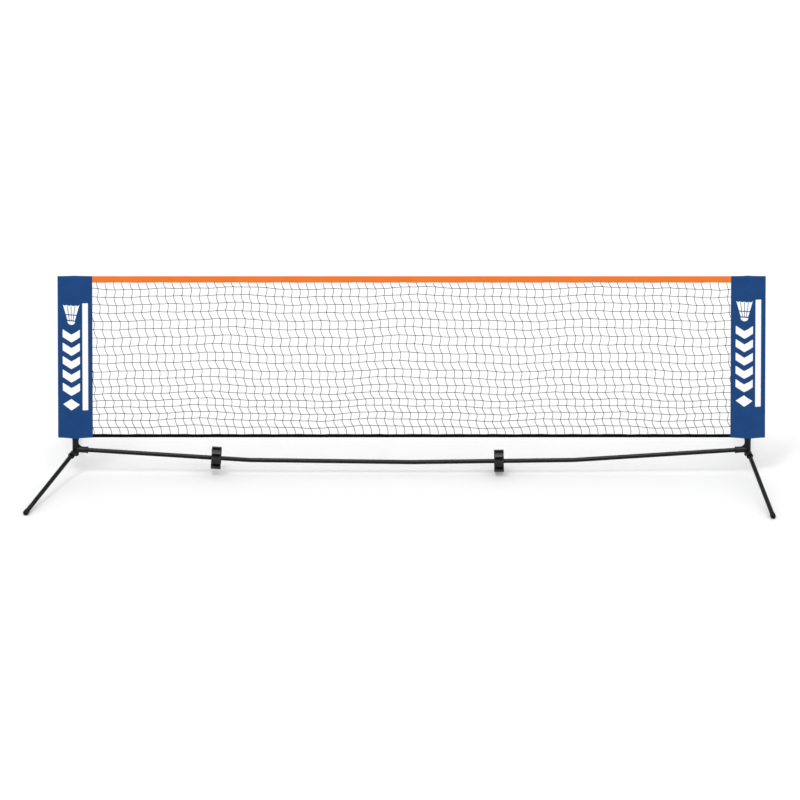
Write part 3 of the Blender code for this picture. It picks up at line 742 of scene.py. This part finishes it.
class Sleeve:
    """One side sleeve: where it hangs, and how far each of its two layers stands off the post's plane."""

    def __init__(self, side):
        low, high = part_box(f"{side}_side_sleeve")
        self.side = side
        self.middle = (low + high) / 2
        self.half = (high.x - low.x) / 2
        self.bulge = (high.y - low.y) / 2
        self.top, self.height = high.z, high.z - low.z
        self.seam = self.half - SEAM_INSET

    def taut(self, x):
        """Half thickness of cloth drawn tight from the post to the edges, and how far out x is along that."""
        reach = math.hypot(self.half, EDGE_HALF)
        turn = math.acos(self.bulge / reach) + math.atan2(EDGE_HALF, self.half)
        touch_x, touch_y = self.bulge * math.cos(turn), self.bulge * math.sin(turn)
        share = np.clip((np.abs(x) - touch_x) / (self.half - touch_x), 0, 1)
        on_post = np.sqrt(np.maximum(self.bulge**2 - x**2, 0))
        return np.where(np.abs(x) < touch_x, on_post, touch_y + (EDGE_HALF - touch_y) * share), share

    def folds(self, x, down, seed):
        """Broad and fine folds, the flare of the loose hem and the pull under the cap."""
        broad = 0.0011 * waves(x * 70, down * 9, seed)
        fine = 0.0005 * waves(x * 150 + down * 40, down * 26, seed + 1)
        slack = np.exp(-((self.height - down) / 0.12) ** 2)
        flare = 0.0011 * slack * (1 + np.sin(x * 95 + 2.0 * seed))
        pull = 0.0010 * np.exp(-(down / 0.16) ** 2) * np.sin(260 * down - 55 * np.abs(x) + seed)
        return broad + fine + flare + pull

    def layer(self, x, down, face):
        """Half thickness at x from the post and down below the top; face is -1 in front and 1 behind."""
        x, down = np.broadcast_arrays(np.asarray(x, float), np.asarray(down, float))
        drawn, share = self.taut(x)
        seed = 2.3 + face + (0.0 if self.side == "left" else 4.1)
        free = np.clip(1 - np.abs(x) / self.half, 0, 1) ** 0.6 * np.clip(1 - share, 0.35, 1)
        sag = 0.0006 * (1 - share) * share * 4
        drawn = drawn + free * self.folds(x, down, seed) - sag
        hem = raised(0.00035, down - self.height + HEM_HEIGHT)
        band = raised(0.00030, np.abs(x) - self.seam + BAND_WIDTH)
        sewn = drawn_in(np.abs(x) - self.seam) + drawn_in(down - self.height + HEM_SEAM)
        ease = np.clip((self.half - np.abs(x)) / 0.0030, 0, 1)
        return np.maximum(drawn + ease * (hem + band - sewn), EDGE_HALF * 0.8)

    def domed(self, thickness, down):
        """The layer drawn in to the top seam over the post's round cap."""
        edge = np.clip(np.asarray(down, float) / 0.006, 0, 1)
        return EDGE_HALF + (thickness - EDGE_HALF) * np.sqrt(np.maximum(1 - (1 - edge) ** 2, 0))

    def point(self, x, down, face, lift=0.0):
        """A point on the front or back, lift metres proud of the cloth."""
        depth = self.domed(self.layer(x, down, face), down) + lift
        x, down = np.broadcast_arrays(np.asarray(x, float), np.asarray(down, float))
        return np.stack([self.middle.x + x, self.middle.y + face * depth, self.top - down], axis=-1)


def sleeve_samples(sleeve):
    """Where the cloth is sampled: closer together at the seams, hems, post and top."""
    inner = sleeve.half - EDGE_HALF
    near_seam = np.linspace(sleeve.seam - 0.009, inner, 15)
    inside = sleeve.seam - 0.011
    across = np.concatenate([-near_seam[::-1], np.linspace(-inside, inside, 47), near_seam])
    top = [0.0, 0.0003, 0.0008, 0.0015, 0.0025, 0.0038, 0.006, 0.009]
    hem = sleeve.height - np.linspace(0.026, 0, 27)
    down = np.concatenate([top, np.linspace(0.014, sleeve.height - 0.031, 118), hem])
    return across, down


def sleeve_loops(sleeve, across, down, inset):
    """Rows of points round the sleeve, one row for each height; inset moves them inside the cloth."""
    turn = np.linspace(-math.pi / 2, math.pi / 2, 7)[1:-1]
    radius = EDGE_HALF - inset
    bend_x = sleeve.half - EDGE_HALF + radius * np.cos(turn)
    bend = np.stack([bend_x, radius * np.sin(turn), 0 * turn], axis=-1)
    level = down[:, None]
    front = sleeve.point(across, level, -1, -inset)
    back = sleeve.point(across[::-1], level, 1, -inset)
    centre = np.stack(np.broadcast_arrays(sleeve.middle.x, sleeve.middle.y, sleeve.top - level), axis=-1)
    rows = np.concatenate([front, centre + bend, back, centre + bend * (-1, -1, 1)], axis=1)
    rows[:, :, 2] = sleeve.top - inset - (sleeve.top - rows[:, :, 2]) * (1 - inset / sleeve.height)
    return rows


def sewn_shut(row, front):
    """Faces that join the front and back of a row of point numbers, from the right edge to the left."""
    half = len(row) // 2
    middle = (front + half) // 2
    reach = np.arange(half + 1)
    grid = np.stack([row[(middle - reach) % len(row)], row[(middle + reach) % len(row)]])
    return [tuple(dict.fromkeys(face)) for face in quads(grid)]


def sleeve_cloth(sleeve, finish):
    """The cloth as a closed shell: outer and inner skin, sewn shut on top and open at the hem."""
    across, down = sleeve_samples(sleeve)
    skins = np.array([sleeve_loops(sleeve, across, down, inset) for inset in (0.0, CLOTH)])
    outer, inner = np.arange(skins[..., 0].size).reshape(skins.shape[:3])
    faces = quads(looped(outer).T) + quads(looped(inner)[:, ::-1].T)
    faces += [face[::-1] for face in sewn_shut(outer[0], len(across))] + sewn_shut(inner[0], len(across))
    faces += quads(looped(np.stack([outer[-1], inner[-1]])).T)
    node = f"{sleeve.side}_side_sleeve"
    mesh = mesh_of(node, (skins.reshape(-1, 3), faces))
    return piece(f"{node}_cloth", mesh, finish, "net", [node], crease=60)


def stitch_row(starts, ends, face):
    """Short raised stitches from each start to each end, dipping into the cloth at both ends."""
    outward = np.array((0.0, face, 0.0))
    t = np.linspace(0, 1, 5)[:, None]
    rise = 0.00042 * np.sin(math.pi * t) - 0.00022
    shapes = []
    for start, end in zip(starts, ends):
        path = start + (end - start) * t + outward * rise
        side = np.cross((end - start) / np.linalg.norm(end - start), outward)
        shapes.append(swept(path, side, outward, STITCH_R, 6))
    return joined(shapes)


def sleeve_stitching(sleeve, thread):
    """Rows of stitches down both edges and along the hem, on both faces."""
    pitch, length = 0.0042, 0.0030
    downs = np.arange(0.006, sleeve.height - 0.008, pitch)
    xs = np.arange(-sleeve.half + 0.004, sleeve.half - 0.006, pitch)
    hem = sleeve.height - HEM_SEAM
    rows = []
    for face in (-1, 1):
        for x in (-sleeve.seam, sleeve.seam):
            rows.append(stitch_row(*[sleeve.point(x, downs + more, face) for more in (0, length)], face))
        rows.append(stitch_row(*[sleeve.point(xs + more, hem, face) for more in (0, length)], face))
    mesh = mesh_of("sleeve_stitching", joined(rows))
    return piece(f"{sleeve.side}_sleeve_stitching", mesh, thread, "net", crease=80)


# ---------------- sleeve print
def rounded_box(a, b, centre, half, radius):
    """Signed distance to a box with rounded corners, negative inside."""
    da = np.abs(a - centre[0]) - half[0] + radius
    db = np.abs(b - centre[1]) - half[1] + radius
    outside = np.hypot(np.maximum(da, 0), np.maximum(db, 0))
    return outside + np.minimum(np.maximum(da, db), 0) - radius


def shuttlecock(a, b):
    """A plain shuttlecock, cork down: a skirt of four feathers, a gap for the binding, and the cork."""
    top, foot, top_half = 0.132, 0.206, 0.036
    binding, cork_top, cork_r = 0.181, 0.211, 0.0165
    half_width = top_half - 0.27 * (b - top)
    skirt = np.maximum(np.abs(a) - half_width, np.maximum(top - b, b - foot))
    scallop = top + 0.007 * np.abs(np.sin(a / top_half * math.tau))
    skirt = np.maximum(skirt, scallop - b)
    slope = a / np.maximum(half_width, 0.01)
    for share in (-0.5, 0.0, 0.5):
        skirt = np.maximum(skirt, 0.0013 - np.abs(slope - share) * half_width)
    skirt = np.maximum(skirt, 0.0022 - np.abs(b - binding))
    cork = np.maximum(np.hypot(a, b - cork_top) - cork_r, cork_top - b)
    return np.minimum(skirt, cork)


def chevron(a, b, tip):
    """A broad chevron that points down."""
    half_arm, half_width, slope = 0.0182, 0.037, 0.62
    arm = np.abs(b - tip + slope * np.abs(a)) - half_arm
    return np.maximum(arm, np.abs(a) - half_width)


def print_distance(x, down):
    """Signed distance to the white graphic: an upright bar, a shuttlecock, five chevrons and a lozenge."""
    column, first_tip, pitch, lozenge_middle = -0.0165, 0.292, 0.063, 0.604
    a = x - column
    shape = rounded_box(x, down, (0.0435, 0.380), (0.0120, 0.252), 0.002)
    shape = np.minimum(shape, shuttlecock(a, down))
    for k in range(5):
        shape = np.minimum(shape, chevron(a, down, first_tip + pitch * k))
    lozenge = np.abs(a) * 0.75 + np.abs(down - lozenge_middle) - 0.027
    return np.minimum(shape, lozenge)


def cut_out(distance, a_axis, b_axis):
    """Polygons of a grid where distance is negative, cut along its edge. Gives (a, b) points and faces."""
    grid = distance(*np.meshgrid(a_axis, b_axis, indexing="ij"))
    points, found, faces = [], {}, []

    def point(i, j, m, n):
        key = (i, j, m, n)
        if key not in found:
            share = 0.0 if (i, j) == (m, n) else grid[i, j] / (grid[i, j] - grid[m, n])
            found[key] = len(points)
            a, b = a_axis[i], b_axis[j]
            points.append((a + share * (a_axis[m] - a), b + share * (b_axis[n] - b)))
        return found[key]

    for i in range(len(a_axis) - 1):
        for j in range(len(b_axis) - 1):
            corners = [(i, j), (i + 1, j), (i + 1, j + 1), (i, j + 1)]
            face = []
            for c, d in zip(corners, corners[1:] + corners[:1]):
                if grid[c] < 0:
                    face.append(point(*c, *c))
                if (grid[c] < 0) != (grid[d] < 0):
                    face.append(point(*min(c, d), *max(c, d)))
            if len(face) > 2:
                faces.append(tuple(face))
    return np.array(points), faces


def sleeve_prints(sleeve, ink):
    """The graphic as a thin film of ink that follows the cloth, on both faces."""
    cell = 0.002
    outline, faces = cut_out(print_distance, np.arange(-0.056, 0.058, cell), np.arange(0.122, 0.640, cell))
    made = []
    for face, label in ((-1, "front"), (1, "back")):
        x, down = outline[:, 0], outline[:, 1] - PRINT_RAISE[sleeve.side]
        cloth = sleeve.point(-face * x, down, face, PRINT_LIFT)
        name = f"{sleeve.side}_sleeve_print_{label}"
        mesh = mesh_of(name, (cloth, [f if face < 0 else f[::-1] for f in faces]), False)
        blank = loose(f"{name}_film", mesh)
        film = blank.modifiers.new("film", "SOLIDIFY")
        film.thickness = 0.0003
        film.offset = -1
        made.append(piece(name, baked(blank), ink, "net", crease=60))
    return made


# ---------------- tapes
def tape_section(height, crown, foot):
    """Outside of cloth folded over the net's edge: (y, z) points from its front foot to its back one."""
    rise = [(-foot, 0.0), (-foot, 0.0008), (-foot + 0.0002, 0.004), (-foot, 0.007), (-crown, height * 0.55)]
    rise += [(-crown, height - crown)]
    bend = arc((0, height - crown), crown, math.pi, 0, 11)[1:-1]
    return np.array(rise + bend + [(-y, z) for y, z in rise[::-1]])


def tape_sway(x):
    """How far a tape wanders to the front and back along its length."""
    return 0.0004 * np.sin(x * 23) + 0.0003 * np.sin(x * 61 + 1)


def tape_cloth(node, finish, upside_down):
    """A tape folded over the net's edge, a little rippled and drawn in where it is sewn into the sleeves."""
    low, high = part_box(node)
    height = high.z - low.z
    xs = np.linspace(low.x - TAPE_TUCK, high.x + TAPE_TUCK, 331)[:, None]
    end = np.minimum(xs - xs[0], xs[-1] - xs)
    pinch = 0.45 + 0.55 * np.minimum(1, end / 0.014)
    sway = tape_sway(xs) * np.minimum(1, end / 0.05)
    scallop = (0.0005 * np.sin(xs * 37 + 2) + 0.0003 * np.sin(xs * 90)) * np.minimum(1, end / 0.02)
    section = tape_section(height, (high.y - low.y) / 2, TAPE_FOOT_HALF)
    normal = np.gradient(section, axis=0)
    normal = np.stack([normal[:, 1], -normal[:, 0]], axis=1)
    normal /= np.linalg.norm(normal, axis=1)[:, None]
    skins = []
    for inset in (0.0, TAPE_CLOTH):
        depth, up = (section + normal * inset).T
        share = up / height
        y = (low.y + high.y) / 2 + depth * pinch + sway * (1 - 0.5 * share)
        z = up + scallop * (1 - share)
        z = high.z - z if upside_down else low.z + z
        skins.append(np.stack(np.broadcast_arrays(xs, y, z), axis=-1))
    skins = np.array(skins)
    grid = np.arange(skins[..., 0].size).reshape(skins.shape[:3])
    sides = [grid[0], grid[1]] + [grid[:, :, i] for i in (0, -1)] + [grid[:, k] for k in (0, -1)]
    mesh = mesh_of(node, (skins.reshape(-1, 3), sum(map(quads, sides), [])))
    return piece(f"{node}_cloth", mesh, finish, "net", [node], crease=60)


def tape_stitching(node, thread, upside_down):
    """A row of stitches along a tape's open edge, front and back."""
    low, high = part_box(node)
    middle = (low.y + high.y) / 2
    pitch, length = 0.0050, 0.0036
    xs = np.arange(low.x + 0.004, high.x - 0.008, pitch)
    level = high.z - TAPE_SEAM if upside_down else low.z + TAPE_SEAM
    sway = tape_sway(xs) * (1 - 0.5 * TAPE_SEAM / (high.z - low.z))
    rows = []
    for face in (-1, 1):
        start = np.stack([xs, middle + face * TAPE_SEAM_HALF + sway, np.full_like(xs, level)], axis=-1)
        rows.append(stitch_row(start, start + (length, 0, 0), face))
    return piece(f"{node}_stitching", mesh_of(node, joined(rows)), thread, "net", crease=80)


# ---------------- net
class NetWeave:
    """Where the net's strings cross. Columns run down and rows run across; row 0 is at the top tape."""

    def __init__(self):
        self.low, self.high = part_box("net_mesh")
        self.pitch = (self.high.x - self.low.x) / NET_COLUMNS
        self.first = -math.ceil(LEAN / self.pitch)

    def crossing(self, column, row):
        """Point of the crossing; column and row may be fractions. Alternate rows are kinked sideways."""
        cut = 1 - FIRST_ROW_SHARE
        share = np.clip((row - cut) / (NET_ROWS - cut), 0, 1)
        x = self.low.x + self.pitch * column + LEAN * share
        x = x + 0.0020 * np.sin(x * 7.0 + row * 0.45) + 0.0015 * np.sin(x * 19.0 - row * 1.3)
        drop = share + 0.036 * np.sin(math.pi * share**1.35) ** 2
        inside = np.clip(np.minimum(row, NET_ROWS - row), 0, 1)
        wave = 0.0052 * np.sin(x * 7.6 + 0.9 + share) + 0.0028 * np.sin(x * 17.0 + row * 0.22)
        wave = wave + 0.0013 * np.sin(x * 43.0 + row * 2.1)
        z = self.high.z - drop * (self.high.z - self.low.z) + inside * wave
        y = (self.low.y + self.high.y) / 2 + 0.003 * np.sin(x * 6.1 + 1) * np.sin(math.pi * share)
        return np.stack(np.broadcast_arrays(x, y, z), axis=-1)

    def kink(self, row):
        """Sideways shift of a row of knots. The last strings slant into the bottom tape."""
        if row == NET_ROWS:
            return END_SLANT
        return KINK * (1 if row % 2 else -1) * (0.75 + 0.35 * math.sin(row * 1.9)) if row else 0.0

    def knot(self, column, row):
        return self.crossing(float(column), float(row)) + (self.kink(row), 0, 0)


def net_string(weave, knots, bends, steps, tuck=0.0):
    """A string through its knots, bent between them and cut off in the sleeves; its ends go tuck further."""
    points = []
    for start, end, bend in zip(knots, knots[1:], bends):
        points += [start + (end - start) * t + bend * math.sin(math.pi * t) for t in np.arange(steps) / steps]
    points = np.array(points + knots[-1:])
    points[[0, -1], 2] += (tuck, -tuck)
    return kept_between(points, weave.low.x - NET_TUCK, weave.high.x + NET_TUCK)


def upright_string(weave, column):
    """One string from tape to tape, bowed to either side in turn."""
    knots = [weave.knot(column, row) for row in range(NET_ROWS + 1)]
    bows = [np.array((STRING_BOW if row % 2 else -STRING_BOW, 0, 0)) for row in range(NET_ROWS)]
    return net_string(weave, knots, bows, 5, NET_TUCK)


def level_string(weave, row):
    """One string across the net, with a little sag between knots."""
    columns = range(weave.first - 2, NET_COLUMNS + 3)
    knots = [weave.knot(column + 0.5, row) for column in columns]
    sags = [np.array((0, 0, -0.0006 - 0.0005 * math.sin(column * 2.4 + row))) for column in columns]
    return net_string(weave, knots, sags, 3)


def kept_between(points, low, high):
    """The stretch of a line with x between low and high, ending exactly there."""
    inside = np.flatnonzero((points[:, 0] > low) & (points[:, 0] < high))
    if len(inside) < 3:
        return None
    first, last = inside[0], inside[-1]
    kept = list(points[first : last + 1])
    for beyond, end, spot in ((first - 1, first, 0), (last + 1, last, len(kept) + 1)):
        if 0 <= beyond < len(points):
            edge = low if points[beyond, 0] <= low else high
            share = (edge - points[end, 0]) / (points[beyond, 0] - points[end, 0])
            kept.insert(spot, points[end] + share * (points[beyond] - points[end]))
    return np.array(kept)


def knot_shape(centre, tilt):
    """A small overhand knot, read as a squat bead."""
    profile = [(0, -0.85), (0.8, -0.5), (1.0, 0.1), (0.7, 0.65), (0, 0.9)]
    points, faces = turned([(r * KNOT_R, z * KNOT_R) for r, z in profile], 6)
    return points @ np.array(Matrix.Rotation(tilt, 3, "Y")).T + centre, faces


def net_strings(finish):
    """The knotted net: upright and level strings, with a knot at every crossing."""
    weave = NetWeave()
    columns = np.arange(weave.first, NET_COLUMNS + 1) + 0.5
    lines = [upright_string(weave, column) for column in columns]
    lines += [level_string(weave, row) for row in range(1, NET_ROWS)]
    shapes = [round_path(line, TWINE_R, 5) for line in lines if line is not None]
    for row in range(1, NET_ROWS):
        for column in columns:
            centre = weave.knot(column, row)
            if weave.low.x < centre[0] < weave.high.x:
                shapes.append(knot_shape(centre, 0.5 * math.sin(column + 2 * row)))
    mesh = mesh_of("net_strings", joined(shapes), False)
    return piece("net_strings", mesh, finish, "net", ["net_mesh"], crease=80)


# ---------------- carried-over CAD nodes
def finish_cad_nodes(metal, coated, plastic, elastic):
    """Better materials for the CAD nodes that are shown as they are."""
    finishes = {"rail_shock_cord": elastic}
    finishes.update({f"rail_ferrule_{i}": coated for i in range(1, RAIL_SECTIONS)})
    for side in SIDES:
        finishes.update({f"{side}_{part}": metal for part in ("pivot_washer", "pivot_screw", "post_ferrule")})
        finishes.update({f"{side}_{part}": plastic for part in ("post_cap", "cord_plug")})
    for node, finish in finishes.items():
        for slot in NODES[node].material_slots:
            slot.link = "OBJECT"
            slot.material = finish


# ---------------- stage
def studio():
    """A wide white floor, an even sky, two soft lamps and an overhead box that only makes highlights."""
    disc = arc((0, 0), 900, 0, math.tau * 95 / 96, 96)
    floor = loose("floor", mesh_of("floor", slab(disc, -0.02, 0, lying)))
    made = Finish("floor", (0.93, 0.93, 0.93), 0.9)
    tint = made.blend(made.spread(made.noise(0.6, 2), 0, 1), (0.925, 0.925, 0.925), (0.935, 0.935, 0.935))
    floor.data.materials.append(made.set(colour=tint, gloss=0.1))
    world = bpy.data.worlds.new("studio")
    world.use_nodes = True
    sky = world.node_tree.nodes["Background"]
    sky.inputs["Color"].default_value = (1.0, 1.0, 1.0, 1.0)
    sky.inputs["Strength"].default_value = 0.97
    bpy.context.scene.world = world
    lamps = [("key", (26, 0, -30), 0.50, 16), ("fill", (58, 0, 28), 0.30, 60), ("box", (14, 0, -8), 5.0, 62)]
    for name, turn, strength, width in lamps:
        lamp = bpy.data.lights.new(name, "SUN")
        lamp.energy = strength
        lamp.angle = math.radians(width)
        item = loose(name, lamp)
        item.rotation_euler = [math.radians(a) for a in turn]
        item.visible_diffuse = name != "box"


def camera():
    """A very long lens a little above the net, straight on, so that its upright edges stay parallel."""
    elevation = math.radians(24)
    view_width = 3.448  # across the frame, at the net
    right, below = 0.050, 0.186  # how far the panel's middle is from the picture's middle
    lens, sensor = 1500.0, 36.0
    low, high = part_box("left_side_sleeve")[0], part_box("right_side_sleeve")[1]
    up = Vector((0, math.sin(elevation), math.cos(elevation)))
    aim = (low + high) / 2 - Vector((right, 0, 0)) - below * up
    back = Vector((0, -math.cos(elevation), math.sin(elevation)))
    data = bpy.data.cameras.new("camera")
    data.lens = lens
    data.sensor_width = sensor
    data.clip_end = 500
    made = loose("camera", data)
    made.location = aim + back * (view_width * lens / sensor)
    made.rotation_euler = back.to_track_quat("Z", "Y").to_euler()
    bpy.context.scene.camera = made


# ---------------- build
def build():
    camera()
    studio()
    bpy.context.scene.view_settings.view_transform = "Standard"
    plastic, metal, coated = moulded_plastic("moulded_plastic", 0.15), zinc_plate(), powder_coat()
    steel_tubes(coated)
    corner_connectors(plastic)
    leg_brackets(plastic)
    rubber_feet(foot_rubber())
    storage_clips(moulded_plastic("clip_plastic", 0.24))
    finish_cad_nodes(metal, coated, plastic, elastic_braid())
    blue = woven("sleeve_cloth", (0.0105, 0.050, 0.167), (0.0143, 0.062, 0.198), 0.0009, 0.78, 0.00016)
    blue_thread = sewing_thread("blue_thread", (0.012, 0.057, 0.19))
    ink = screen_print()
    for side in SIDES:
        sleeve = Sleeve(side)
        cloth = sleeve_cloth(sleeve, blue)
        extras = [sleeve_stitching(sleeve, blue_thread)] + sleeve_prints(sleeve, ink)
    orange = woven("orange_webbing", (0.735, 0.175, 0.0265), (0.81, 0.200, 0.0330), 0.0013, 0.72, 0.0002)
    dark, light = (0.0006, 0.0006, 0.0006), (0.0022, 0.0022, 0.0022)
    black = woven("black_webbing", dark, light, 0.0013, 0.75, 0.0002, 0.03)
    strings = net_strings(twine())
    orange_thread = sewing_thread("orange_thread", (0.62, 0.145, 0.021))
    black_thread = sewing_thread("black_thread", (0.002, 0.002, 0.002))
    tapes = [("top_tape", orange, orange_thread, False), ("bottom_tape", black, black_thread, True)]
    for node, finish, thread, upside_down in tapes:
        tape = tape_cloth(node, finish, upside_down)
        seam = tape_stitching(node, thread, upside_down)


build()
